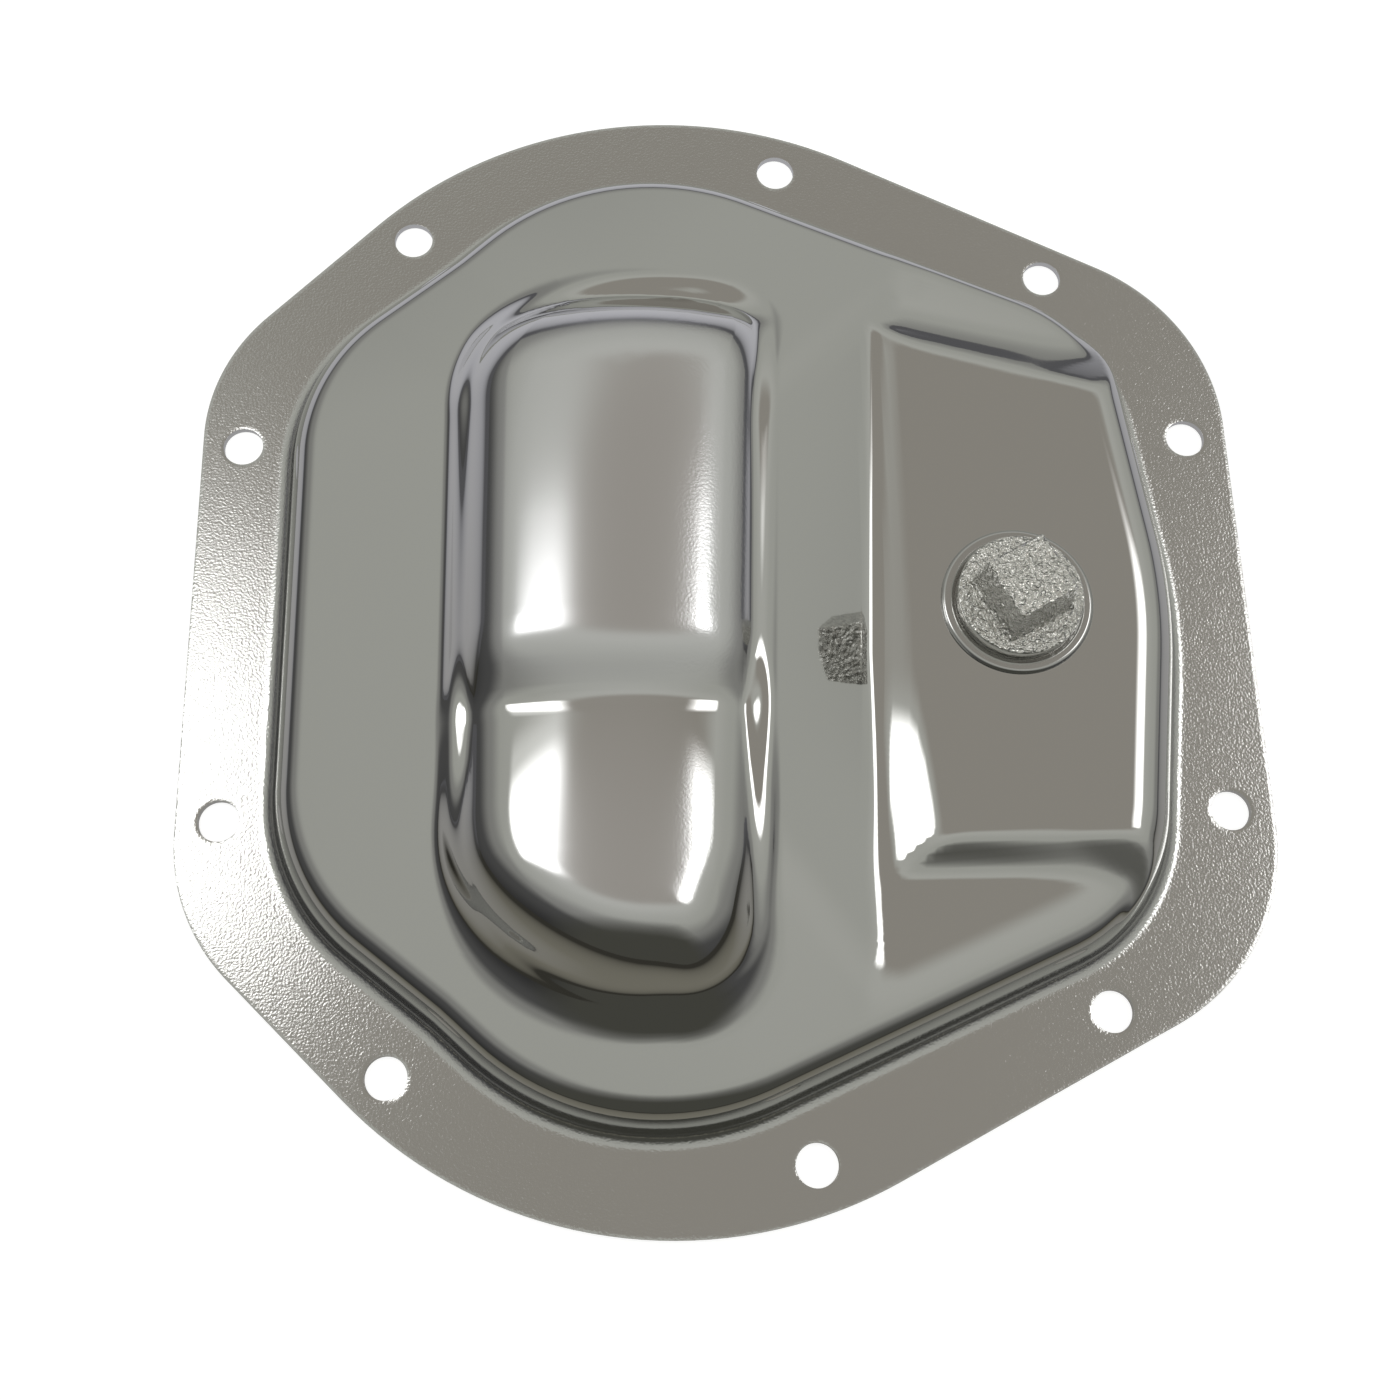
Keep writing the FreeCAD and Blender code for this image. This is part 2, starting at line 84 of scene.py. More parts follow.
# Ring gear hump: the outline of its foot, its wall, and the crown of its two lobes
HUMP_LEFT_X = -62.5
HUMP_LOWER_RIGHT_X = 8.5
HUMP_UPPER_RIGHT_X = 16.5
HUMP_UPPER_Y = 83.0
HUMP_LOWER_Y = -92.5
HUMP_LARGE_RADIUS = 44.0
HUMP_SMALL_RADIUS = 22.0
HUMP_DRAFT = 19.0
HUMP_FOOT_BLEND = 9.0
LOBE_EDGE_RADIUS = 13.0
LOBE_MIDDLE_X = -22.65
LOBE_LEAN = 0.045
LOBE_CROWN_RADIUS = 66.0
LOBE_CROWN_REACH = 45.0
LOBE_BLEND = 1.6
# The lower lobe leans in further, and rounds over more gently, towards its end
LOWER_END_FROM = -56.0
LOWER_END_OVER = 26.0
LOWER_END_DRAFT = 30.0
LOWER_END_RADIUS = 21.0
UPPER_LOBE_Z = 46.5
LOWER_LOBE_Z = 42.0
# The lower lobe is also crowned lengthwise
LOWER_SUMMIT_Y = -68.0
LOWER_LENGTH_RADIUS = 290.0
# The upper lobe falls off gently towards the ramp, and ends in a soft step down to the lower one
UPPER_CROWN_FROM = 8.0
UPPER_LENGTH_RADIUS = 400.0
WAIST_Y = -18.0
WAIST_SLOPE = 32.0
WAIST_RADIUS = 16.0
LOWER_LOBE_END_Y = -26.0
RAMP_TOP_Y = 53.0
RAMP_ANGLE = 45.0
RAMP_FOOT_Y = 75.0
RAMP_LENGTH = 60.0
RAMP_RADIUS = 24.0
# Under the hump the skirt drops away, so that the waist can be lower than the skirt would be there
SKIRT_DROPS_FROM = 4.0
SKIRT_DROP = 0.3
SKIRT_DROPS_OVER = 20.0

# Filler pocket: its flat, the strip beside the valley, the slopes at both ends and the ledges beyond them.
# The upper ledge has a height at a place (x, y, z) and falls along X and Y
POCKET_Z = 23.0
STRIP_X = 43.0
STRIP_SLOPES = (16.0, 30.0)
STRIP_RADIUS = 24.0
LEDGE_Z = 17.3
UPPER_LEDGE_AT = (33.0, 66.0, 18.0)
UPPER_LEDGE_FALL = (0.07, 0.19)
POCKET_LOWER_Y = -53.5
POCKET_LOWER_SLOPE = 37.0
POCKET_UPPER_Y = 60.0
POCKET_UPPER_LEAN = 0.27
POCKET_UPPER_SLOPE = 30.0
POCKET_WALL_RADIUS = 13.0
POCKET_RIM_RADIUS = 7.0
POCKET_CORNER_BLEND = 2.0
POCKET_EDGE_BLEND = 1.0
POCKET_SIDE_BLEND = 1.5

# Threaded bung and its square-head plug: heights, radii, and the head's width at its foot and top.
# The head's rounding is a share of its size, and its foot flares by a share of its width over a share of
# its height. Cast lumps are about CAST_GRAIN high, and CAST_SHRINK times that is taken off, so that the head
# keeps its size. The last values are the corners, leans and gap of the turned outlines
PLUG_AT = (61.2, -3.7)
BUNG_END_Z = 11.0
BUNG_RADIUS = 15.0
LIP_Z = 23.8
LIP_RADIUS = 16.5
THREAD_RADIUS = 13.4
THREAD_END_Z = 9.8
THREAD_TAPER = 1.79
COLLAR_Z = 27.5
HEAD_Z = 38.5
HEAD_WIDTHS = (15.7, 13.9)
HEAD_TURN = 28.0
HEAD_SUNK = 0.3
HEAD_PROUD = 0.1
HEAD_CORNER = 0.045
FLARE = 0.10
FLARE_HEIGHT = 0.18
CAST_GRAIN = 0.16
CAST_SHRINK = 0.6
TURNED_CHAMFER = 0.3
TURNED_EDGE = 0.1
LIP_CORNERS = (0.5, 0.9)
LIP_LEANS = (0.9, 0.7)
COLLAR_CORNER = 0.6
COLLAR_FOOT = 0.2
THREAD_GAP = 0.05


def tangent(degrees):
    return math.tan(math.radians(degrees))


def rounded(corners, step=4.0, closed=True):
    """Points along a line through (x, y, radius) corners. Each corner becomes a tangent arc."""
    points = []
    count = len(corners)
    for number, (x, y, radius) in enumerate(corners):
        if not closed and number in (0, count - 1):
            points.append((x, y))
            continue
        here = Vector((x, y))
        back = (Vector(corners[number - 1][:2]) - here).normalized()
        ahead = (Vector(corners[(number + 1) % count][:2]) - here).normalized()
        half = back.angle(ahead) / 2
        middle = (back + ahead).normalized()
        centre = here + middle * (radius / math.sin(half))
        start = here + back * (radius / math.tan(half)) - centre
        turn = math.copysign(math.pi - 2 * half, back.y * ahead.x - back.x * ahead.y)
        steps = max(2, math.ceil(abs(math.degrees(turn)) / step))
        for i in range(steps + 1):
            spoke = start.copy()
            spoke.rotate(Matrix.Rotation(turn * i / steps, 2))
            points.append(tuple(centre + spoke))
    return np.array(points)


def apex(left, left_angle, right, right_angle):
    """Where the line that rises rightwards from left meets the one that rises leftwards from right."""
    rise_left = tangent(left_angle)
    rise_right = tangent(right_angle)
    x = (right[1] - left[1] + left[0] * rise_left + right[0] * rise_right) / (rise_left + rise_right)
    return x, left[1] + (x - left[0]) * rise_left


def mirrored(upper, middle=()):
    """Corners of an outline that is even about the X axis, from its upper half, left to right."""
    lower = [(x, -y, radius) for x, y, radius in reversed(upper)]
    return list(upper) + list(middle) + lower


def flange_outline():
    left, right = FLANGE_CORNERS
    end = apex(left, FLANGE_ANGLES[0], right, FLANGE_ANGLES[1])
    return rounded(mirrored([left, (*end, FLANGE_END_RADIUS), right]), step=2.0)


def foot_outline():
    """Foot of the dome wall, notched to clear the bolt heads at the upper and lower left."""
    step = BOLT_HEAD_CLEARANCE / math.sqrt(2)
    notch = (BOLTS[1][0] + step, BOLTS[1][1] - step)
    left = (FOOT_LEFT_X, notch[1] - (notch[0] - FOOT_LEFT_X) * tangent(FOOT_SIDE_ANGLE))
    end = apex(notch, FOOT_ANGLES[0], FOOT_RIGHT_CORNER, FOOT_ANGLES[1])
    upper = [
        (*left, FOOT_RADII["left"]),
        (*notch, FOOT_RADII["notch"]),
        (*end, FOOT_RADII["end"]),
        (*FOOT_RIGHT_CORNER, FOOT_RADII["right"]),
    ]
    return rounded(mirrored(upper, [(FOOT_RIGHT_X, 0.0, FOOT_RADII["bend"])]), step=2.0)


def hump_outline():
    """Foot of the hump, if it stood on a flat at the height of WALL_TOP."""
    return rounded([
        (HUMP_LEFT_X, HUMP_UPPER_Y, HUMP_LARGE_RADIUS),
        (HUMP_UPPER_RIGHT_X, HUMP_UPPER_Y, HUMP_SMALL_RADIUS),
        (HUMP_LOWER_RIGHT_X, HUMP_LOWER_Y, HUMP_SMALL_RADIUS),
        (HUMP_LEFT_X, HUMP_LOWER_Y, HUMP_LARGE_RADIUS),
    ], step=2.0)


def inside_distance(points, outline):
    """How far each point lies inside a closed outline. It is negative outside."""
    start = outline
    run = np.roll(outline, -1, axis=0) - start
    length = np.maximum((run ** 2).sum(1), 1e-12)
    nearest = np.full(len(points), 1e9)
    crossings = np.zeros(len(points), int)
    for a, ab, squared in zip(start, run, length):
        offset = points - a
        along = np.clip(offset @ ab / squared, 0, 1)
        nearest = np.minimum(nearest, np.hypot(*(offset - along[:, None] * ab).T))
        straddles = (a[1] > points[:, 1]) != (a[1] + ab[1] > points[:, 1])
        rise = ab[1] if ab[1] else 1e-12
        crossings += straddles & (points[:, 0] < a[0] + ab[0] * (points[:, 1] - a[1]) / rise)
    return np.where(crossings % 2 == 1, nearest, -nearest)


def smooth_min(a, b, blend):
    """Lower of two heights, with a soft change between them where they differ by less than blend."""
    mix = np.clip(0.5 + 0.5 * (b - a) / blend, 0, 1)
    return b + (a - b) * mix - blend * mix * (1 - mix)


def smooth_max(a, b, blend):
    """Higher of two heights, with the same soft change."""
    return -smooth_min(-a, -b, blend)


def wall_setback():
    """From the foot outline to where the plane of the wall meets the gasket face."""
    return FOOT_FILLET * tangent((90 - WALL_DRAFT) / 2) - SHEET * tangent(WALL_DRAFT)


def wall_profile(distance, corner, slope, radius):
    """Height of foot, wall and what follows a rounded corner, by the distance inside the foot outline."""
    lean = tangent(WALL_DRAFT)
    setback = wall_setback()
    path = rounded([
        (-FAR, SHEET, 0.0),
        (setback + SHEET * lean, SHEET, FOOT_FILLET),
        (corner[0], corner[1], radius),
        (corner[0] + FAR, corner[1] + FAR * slope, 0.0),
    ], step=1.0, closed=False)
    return np.interp(distance, path[:, 0], path[:, 1])


def bowl_height(distance):
    """Height of the wall and of the skirt above its knee."""
    lean = tangent(WALL_DRAFT)
    slope = tangent(SKIRT_SLOPE)
    z = (WALL_TOP + (wall_setback() - SKIRT_INSET) * slope) / (1 - lean * slope)
    return wall_profile(distance, (wall_setback() + z * lean, z), slope, KNEE_RADIUS)


def eased(value):
    """Share between 0 and 1 that starts and ends gently."""
    share = np.clip(value, 0, 1)
    return share ** 2 * (3 - 2 * share)


def bent(value, place, level, slope, radius):
    """Height that rises at a slope until place, and rounds over there to stay at level."""
    rise = tangent(slope)
    path = rounded([
        (place - FAR, level - FAR * rise, 0.0),
        (place, level, radius),
        (place + FAR, level, 0.0),
    ], step=1.0, closed=False)
    return np.interp(value, path[:, 0], path[:, 1])


def plate_height(x, y):
    """Ground beside the hump: the pocket's flat, and the ledges at both of its ends."""
    at_x, at_y, at_z = UPPER_LEDGE_AT
    upper_ledge = at_z - UPPER_LEDGE_FALL[0] * (x - at_x) - UPPER_LEDGE_FALL[1] * (y - at_y)
    ledge = np.minimum(np.where(y > 0, upper_ledge, LEDGE_Z), LEDGE_Z)
    return smooth_max(pocket_flat(x, y), ledge, POCKET_CORNER_BLEND)


def pocket_flat(x, y):
    """The pocket's flat with the strip that falls to the valley and the slopes at both ends."""
    lower = bent(y, POCKET_LOWER_Y, POCKET_Z, POCKET_LOWER_SLOPE, POCKET_RIM_RADIUS)
    across = y + POCKET_UPPER_LEAN * (x - VALLEY_X)
    upper = bent(-across, -POCKET_UPPER_Y, POCKET_Z, POCKET_UPPER_SLOPE, POCKET_RIM_RADIUS)
    turned = eased((VALLEY_TURNS_FROM - y) / VALLEY_TURNS_OVER)
    strips = [bent(x, STRIP_X, POCKET_Z, slope, STRIP_RADIUS) for slope in STRIP_SLOPES]
    strip = strips[0] + (strips[1] - strips[0]) * turned
    return smooth_min(strip, smooth_min(lower, upper, POCKET_CORNER_BLEND), POCKET_EDGE_BLEND)


def pocket_side(distance, x, y):
    """The pocket's outer side, where its flat rounds over straight into the wall."""
    corner = (wall_setback() + POCKET_Z * tangent(WALL_DRAFT), POCKET_Z)
    outer = wall_profile(distance, corner, 0.0, POCKET_WALL_RADIUS)
    return smooth_min(outer, pocket_flat(x, y), POCKET_EDGE_BLEND)


def valley_height(x, y):
    """Skirt on the hump's right side, which falls to the valley."""
    turned = eased((VALLEY_TURNS_FROM - y) / VALLEY_TURNS_OVER)
    level = VALLEY_Z[0] + (VALLEY_Z[1] - VALLEY_Z[0]) * turned
    slopes = [tangent(slope) for slope in VALLEY_SLOPES]
    climb = VALLEY_CLIMB * np.maximum(y, VALLEY_TURNS_FROM)
    return level + climb + (VALLEY_X - x) * (slopes[0] + (slopes[1] - slopes[0]) * turned)


def rounded_end(distance, low, top, draft, radius):
    """Height of a wall that leans in by draft from low, and rounds over to top. All of them may vary."""
    angle = np.radians(draft)
    centre_z = top - radius
    centre_x = (centre_z - low) * np.tan(angle) + radius / np.cos(angle)
    tangent_x = centre_x - radius * np.cos(angle)
    wall = low + distance / np.tan(angle)
    arc = centre_z + np.sqrt(np.maximum(radius ** 2 - (centre_x - distance) ** 2, 0))
    return np.where(distance <= tangent_x, wall, np.where(distance < centre_x, arc, top))


def hump_height(x, y, within):
    """Height of the hump's wall and of its two crowned lobes, by the distance inside its foot."""
    across = np.clip(x - LOBE_MIDDLE_X - LOBE_LEAN * y, -LOBE_CROWN_REACH, LOBE_CROWN_REACH)
    crown = LOBE_CROWN_RADIUS - np.sqrt(LOBE_CROWN_RADIUS ** 2 - across ** 2)
    ramp = rounded([
        (-FAR, 0.0, 0.0),
        (RAMP_TOP_Y, 0.0, RAMP_RADIUS),
        (RAMP_TOP_Y + RAMP_LENGTH, -RAMP_LENGTH * tangent(RAMP_ANGLE), 0.0),
    ], step=1.0, closed=False)
    falling = np.maximum(y - UPPER_CROWN_FROM, 0) ** 2 / (2 * UPPER_LENGTH_RADIUS)
    upper_top = UPPER_LOBE_Z - crown - falling + np.interp(y, ramp[:, 0], ramp[:, 1])
    lower_top = LOWER_LOBE_Z - crown - (y - LOWER_SUMMIT_Y) ** 2 / (2 * LOWER_LENGTH_RADIUS)
    end = eased((LOWER_END_FROM - y) / LOWER_END_OVER)
    draft = HUMP_DRAFT + (LOWER_END_DRAFT - HUMP_DRAFT) * end
    radius = LOBE_EDGE_RADIUS + (LOWER_END_RADIUS - LOBE_EDGE_RADIUS) * end
    upper_top = upper_top + bent(y, WAIST_Y, 0.0, WAIST_SLOPE, WAIST_RADIUS)
    lower_top = lower_top - np.maximum(y - LOWER_LOBE_END_Y, 0)
    upper = rounded_end(within, WALL_TOP, upper_top, HUMP_DRAFT, LOBE_EDGE_RADIUS)
    lower = rounded_end(within, WALL_TOP, lower_top, draft, radius)
    return smooth_max(upper, lower, LOBE_BLEND)


def cover_height(points):
    """Height of the outside of the dome over each (x, y) point."""
    x, y = points.T
    distance = inside_distance(points, FOOT)
    within = inside_distance(points, HUMP)
    bowl = bowl_height(distance)
    ground = smooth_max(valley_height(x, y), plate_height(x, y), VALLEY_BLEND)
    dome = smooth_min(bowl, ground, SKIRT_BLEND)
    dome = np.where(distance < SKIRT_ONLY, bowl, dome)
    dome = smooth_max(dome, pocket_side(distance, x, y), POCKET_SIDE_BLEND)
    dome = np.where(distance < WALL_ONLY, bowl, dome)
    below_ramp = eased((RAMP_FOOT_Y - y) / SKIRT_DROPS_OVER)
    dome = dome - SKIRT_DROP * np.maximum(within - SKIRT_DROPS_FROM, 0.0) ** 2 * below_ramp
    return smooth_max(dome, hump_height(x, y, within), HUMP_FOOT_BLEND)


FOOT = foot_outline()
HUMP = hump_outline()


def spread(start, end, steps):
    """Even steps from start up to, and without, end."""
    return list(np.linspace(start, end, steps, endpoint=False))


def branch(outline, y, side):
    """Point of the outline at height y on its left (-1) or right (+1) side."""
    fine = resampled(outline, 0.5)
    middle = outline[:, 0].mean()
    part = fine[(fine[:, 0] - middle) * side > 0]
    part = part[np.argsort(part[:, 1])]
    return np.interp(y, part[:, 1], part[:, 0])


def resampled(outline, step):
    """Points at even steps along a closed outline."""
    closed = np.vstack([outline, outline[:1]])
    length = np.r_[0, np.cumsum(np.hypot(*np.diff(closed, axis=0).T))]
    at = np.arange(0, length[-1], step)
    return np.column_stack([np.interp(at, length, closed[:, 0]), np.interp(at, length, closed[:, 1])])


def over_end(outline, y_end, columns):
    """Points along the outline from its right side at y_end, over the end, to its left side."""
    fine = resampled(outline, 0.25)
    beyond = fine[fine[:, 1] * np.sign(y_end) > abs(y_end)]
    turn = np.arctan2(beyond[:, 0] - outline[:, 0].mean(), np.abs(beyond[:, 1]) - abs(y_end))
    beyond = beyond[np.argsort(-turn)]
    length = np.r_[0, np.cumsum(np.hypot(*np.diff(beyond, axis=0).T))]
    at = (np.arange(columns) + 0.5) / columns * length[-1]
    return np.column_stack([np.interp(at, length, beyond[:, 0]), np.interp(at, length, beyond[:, 1])])


# Mesh of the pressing: columns run from the foot up to the hump, and rings round it. They are closest on
# the wall and at the foot of the hump
EDGE_MARGIN = 0.9
HOLE_SIDES = 64
SIDE_END_Y = 78.0
SIDE_COLUMNS = 104
END_COLUMNS = 54
OUTSIDE_FOOT = 0.8
FILLET_TO = 4.0
FILLET_RINGS = 9
WALL_TO = 12.0
WALL_RINGS = 17
SKIRT_RINGS = 46
HUMP_WALL_TO = 8.0
HUMP_WALL_RINGS = 24
SHOULDER_TO = 16.0
SHOULDER_RINGS = 12
CROWN_RINGS = 9
SPINE_Y = (-60.0, 40.0)


def columns_of(outline):
    """Points of an outline, anticlockwise from the lower right, that pair up with another outline's."""
    y = np.linspace(-SIDE_END_Y, SIDE_END_Y, SIDE_COLUMNS)
    right = np.column_stack([branch(outline, y, 1), y])
    left = np.column_stack([branch(outline, y, -1), y])[::-1]
    top = over_end(outline, SIDE_END_Y, END_COLUMNS)
    bottom = over_end(outline, -SIDE_END_Y, END_COLUMNS)[::-1]
    return np.vstack([right, top, left, bottom])


def inward(points):
    """Unit normals of a closed anticlockwise run of points, pointing inwards."""
    ahead = np.roll(points, -1, axis=0) - np.roll(points, 1, axis=0)
    normal = np.column_stack([-ahead[:, 1], ahead[:, 0]])
    return normal / np.hypot(*normal.T)[:, None]


def dome_rings():
    """Plan of the rings of the dome's mesh: along the wall, across the skirt and over the hump."""
    foot = columns_of(FOOT)
    foot_normal = inward(foot)
    hump = columns_of(HUMP)
    middle = (HUMP_LEFT_X + HUMP_UPPER_RIGHT_X) / 2
    spine = np.column_stack([np.full(len(hump), middle), np.clip(hump[:, 1], *SPINE_Y)])
    wall_run = [-OUTSIDE_FOOT] + spread(0, FILLET_TO, FILLET_RINGS) + spread(FILLET_TO, WALL_TO, WALL_RINGS)
    rings = [foot + foot_normal * distance for distance in wall_run]
    skirt_from = foot + foot_normal * WALL_TO
    for share in spread(0, 1, SKIRT_RINGS):
        rings.append(skirt_from + (hump - skirt_from) * share)
    span = np.hypot(*(spine - hump).T)[:, None]
    toward = (spine - hump) / span
    hump_run = spread(0, HUMP_WALL_TO, HUMP_WALL_RINGS) + spread(HUMP_WALL_TO, SHOULDER_TO, SHOULDER_RINGS)
    rings += [hump + toward * distance for distance in hump_run]
    for share in np.linspace(0, 1, CROWN_RINGS):
        rings.append(hump + toward * (SHOULDER_TO + (span - SHOULDER_TO) * share))
    return np.array(rings)


def new_object(name, mesh):
    piece = bpy.data.objects.new(name, mesh)
    bpy.context.scene.collection.objects.link(piece)
    return piece


def cover_sheet():
    """Outside of the pressing: a grid wrapped round the dome, and the flat of the flange."""
    rings = dome_rings()
    count, columns, _ = rings.shape
    plan = rings.reshape(-1, 2)
    height = cover_height(plan)
    bm = bmesh.new()
    bmesh.ops.create_grid(bm, x_segments=columns, y_segments=count - 1, size=1.0)
    bm.verts.ensure_lookup_table()
    for vert in bm.verts:
        column = round((vert.co.x + 1) / 2 * columns) % columns
        ring = round((vert.co.y + 1) / 2 * (count - 1))
        index = ring * columns + column
        vert.co = (*plan[index], height[index])
    bmesh.ops.remove_doubles(bm, verts=bm.verts, dist=0.01)
    bmesh.ops.recalc_face_normals(bm, faces=bm.faces)
    edges = [edge for edge in bm.edges if edge.is_boundary]
    rim = flange_outline()
    edges += edged(bm, rim, rim + inward(rim[::-1])[::-1] * EDGE_MARGIN)
    for x, y in BOLTS:
        for side in (1, -1):
            hole = circle(x, side * y, BOLT_HOLE_RADIUS)
            edges += edged(bm, hole, circle(x, side * y, BOLT_HOLE_RADIUS + EDGE_MARGIN))
    bmesh.ops.triangle_fill(bm, use_beauty=True, use_dissolve=False, edges=edges)
    bmesh.ops.recalc_face_normals(bm, faces=bm.faces)
    highest = max(bm.faces, key=lambda face: face.calc_center_median().z)
    if highest.normal.z < 0:
        bmesh.ops.reverse_faces(bm, faces=bm.faces)
    bmesh.ops.scale(bm, vec=(MM, MM, MM), verts=bm.verts)
    mesh = bpy.data.meshes.new("chromed_cover")
    bm.to_mesh(mesh)
    bm.free()
    return new_object("chromed_cover", mesh)


def edged(bm, edge, margin):
    """Narrow strip of quads from an edge of the flat to a margin beside it, which keeps the flat's
    shading flat. Returns the edges of the margin."""
    at_edge = [bm.verts.new((x, y, SHEET)) for x, y in edge]
    at_margin = [bm.verts.new((x, y, SHEET)) for x, y in margin]
    for i in range(len(edge)):
        bm.faces.new((at_edge[i - 1], at_edge[i], at_margin[i], at_margin[i - 1]))
    return [bm.edges.get((at_margin[i - 1], at_margin[i])) for i in range(len(edge))]


def circle(x, y, radius):
    """Points of a bolt hole's edge, or of the margin round it."""
    turn = np.linspace(0, 2 * math.pi, HOLE_SIDES, endpoint=False)
    return np.column_stack([x + radius * np.cos(turn), y + radius * np.sin(turn)])


def finished(piece, sharp_angle):
    """Applies the modifiers, shades the faces smooth and marks edges sharper than the angle."""
    graph = bpy.context.evaluated_depsgraph_get()
    mesh = bpy.data.meshes.new_from_object(piece.evaluated_get(graph))
    piece.modifiers.clear()
    piece.data = mesh
    mesh.shade_smooth()
    mesh.set_sharp_from_angle(angle=math.radians(sharp_angle))
    return piece


ROLLED_EDGE = 0.55


def cover():
    """The pressing: the outside sheet, given its thickness inwards and rolled edges."""
    piece = cover_sheet()
    solid = piece.modifiers.new("thickness", "SOLIDIFY")
    solid.thickness = SHEET * MM
    solid.offset = -1.0
    solid.material_offset = 1
    solid.material_offset_rim = 0
    rim = piece.modifiers.new("rolled_edges", "BEVEL")
    rim.limit_method = "ANGLE"
    rim.angle_limit = math.radians(60)
    rim.width = ROLLED_EDGE * MM
    rim.segments = 2
    piece.data.materials.append(chrome())
    piece.data.materials.append(inside_chrome())
    finished(piece, sharp_angle=50)
    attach(piece, "root")
    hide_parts("cover")
    return piece


def maths(tree, operation, *values, clamp=False):
    """Math node over sockets and plain numbers. Returns its output."""
    node = tree.nodes.new("ShaderNodeMath")
    node.operation = operation
    node.use_clamp = clamp
    for number, value in enumerate(values):
        if isinstance(value, (int, float)):
            node.inputs[number].default_value = value
        else:
            tree.links.new(value, node.inputs[number])
    return node.outputs[0]


def principled(name):
    material = bpy.data.materials.new(name)
    material.use_nodes = True
    return material, material.node_tree.nodes, material.node_tree.links


def grain_group():
    """Node group that gives the normal of a surface with fine hammered grain."""
    group = bpy.data.node_groups.new("hammered_grain", "ShaderNodeTree")
    group.interface.new_socket("Place", in_out="INPUT", socket_type="NodeSocketVector")
    for socket in ("Per Metre", "Depth", "Strength"):
        group.interface.new_socket(socket, in_out="INPUT", socket_type="NodeSocketFloat")
    group.interface.new_socket("Normal", in_out="OUTPUT", socket_type="NodeSocketVector")
    given = group.nodes.new("NodeGroupInput")
    result = group.nodes.new("NodeGroupOutput")
    lumps = group.nodes.new("ShaderNodeTexNoise")
    lumps.inputs["Detail"].default_value = 1.5
    group.links.new(given.outputs["Place"], lumps.inputs["Vector"])
    group.links.new(given.outputs["Per Metre"], lumps.inputs["Scale"])
    bump = group.nodes.new("ShaderNodeBump")
    group.links.new(lumps.outputs["Fac"], bump.inputs["Height"])
    group.links.new(given.outputs["Depth"], bump.inputs["Distance"])
    group.links.new(given.outputs["Strength"], bump.inputs["Strength"])
    group.links.new(bump.outputs["Normal"], result.inputs["Normal"])
    return group


GRAIN = grain_group()


def grain(tree, place, size, depth, strength):
    """Normal of a grained surface in one material. Size and depth are in millimetres."""
    node = tree.nodes.new("ShaderNodeGroup")
    node.node_tree = GRAIN
    node.inputs["Per Metre"].default_value = 1 / (size * MM)
    node.inputs["Depth"].default_value = depth * MM
    tree.links.new(place, node.inputs["Place"])
    tree.links.new(strength, node.inputs["Strength"])
    return node.outputs["Normal"]


def share_above(tree, value, start, span):
    """0 up to start and 1 from start + span on. Both are in millimetres."""
    return maths(tree, "DIVIDE", maths(tree, "SUBTRACT", value, start * MM), span * MM, clamp=True)


# The press leaves the flange satin, the drawn dome bright, and the lobes a little duller with worn right
# flanks. The lobes' lighter colour is painted light on the top of the hump. Where each begins and over how
# much it changes, in millimetres, with colours and roughness
CHROME_COLOUR = (0.60, 0.60, 0.59, 1)
# Painted light: the lobes are given a lighter colour than the rest of the chrome
LOBE_PAINTED_LIGHT_COLOUR = (0.72, 0.72, 0.73, 1)
FLANGE_ROUGHNESS = 0.15
DOME_ROUGHNESS = 0.045
LOBE_ROUGHNESS = 0.21
DOME_FROM_Z = (2.0, 2.0)
LOBES_FROM_Z = (38.0, 4.0)
WORN_FROM_X = (-22.0, 16.0)
GRAIN_SIZE = 0.55
GRAIN_DEPTH = 0.08
FLANGE_GRAIN = 0.8
WORN_GRAIN = 0.35
INSIDE_COLOUR = (0.42, 0.42, 0.41, 1)
INSIDE_ROUGHNESS = 0.35


def chrome():
    """Bright chrome that turns satin and grained on the flange, and duller on the lobes, whose lighter
    colour is painted light.
    """
    material, nodes, links = principled("chrome")
    tree = material.node_tree
    shader = nodes["Principled BSDF"]
    shader.inputs["Metallic"].default_value = 1.0
    place = nodes.new("ShaderNodeTexCoord")
    axes = nodes.new("ShaderNodeSeparateXYZ")
    links.new(place.outputs["Object"], axes.inputs[0])
    x, y, z = axes.outputs
    on_flange = maths(tree, "SUBTRACT", 1.0, share_above(tree, z, *DOME_FROM_Z))
    on_lobes = share_above(tree, z, *LOBES_FROM_Z)
    at_right = share_above(tree, x, *WORN_FROM_X)
    worn = maths(tree, "MULTIPLY", on_lobes, at_right)
    # Lighter colour on the lobes: painted light on the top of the hump
    colour = nodes.new("ShaderNodeMix")
    colour.data_type = "RGBA"
    colour.inputs["A"].default_value = CHROME_COLOUR
    colour.inputs["B"].default_value = LOBE_PAINTED_LIGHT_COLOUR
    links.new(on_lobes, colour.inputs["Factor"])
    links.new(colour.outputs["Result"], shader.inputs["Base Color"])
    roughness = maths(tree, "MULTIPLY_ADD", on_flange, FLANGE_ROUGHNESS - DOME_ROUGHNESS, DOME_ROUGHNESS)
    roughness = maths(tree, "MULTIPLY_ADD", on_lobes, LOBE_ROUGHNESS - DOME_ROUGHNESS, roughness)
    links.new(roughness, shader.inputs["Roughness"])
    pressed = maths(tree, "MULTIPLY", on_flange, FLANGE_GRAIN)
    strength = maths(tree, "MULTIPLY_ADD", worn, WORN_GRAIN, pressed, clamp=True)
    grained = grain(tree, place.outputs["Object"], GRAIN_SIZE, GRAIN_DEPTH, strength)
    links.new(grained, shader.inputs["Normal"])
    return material


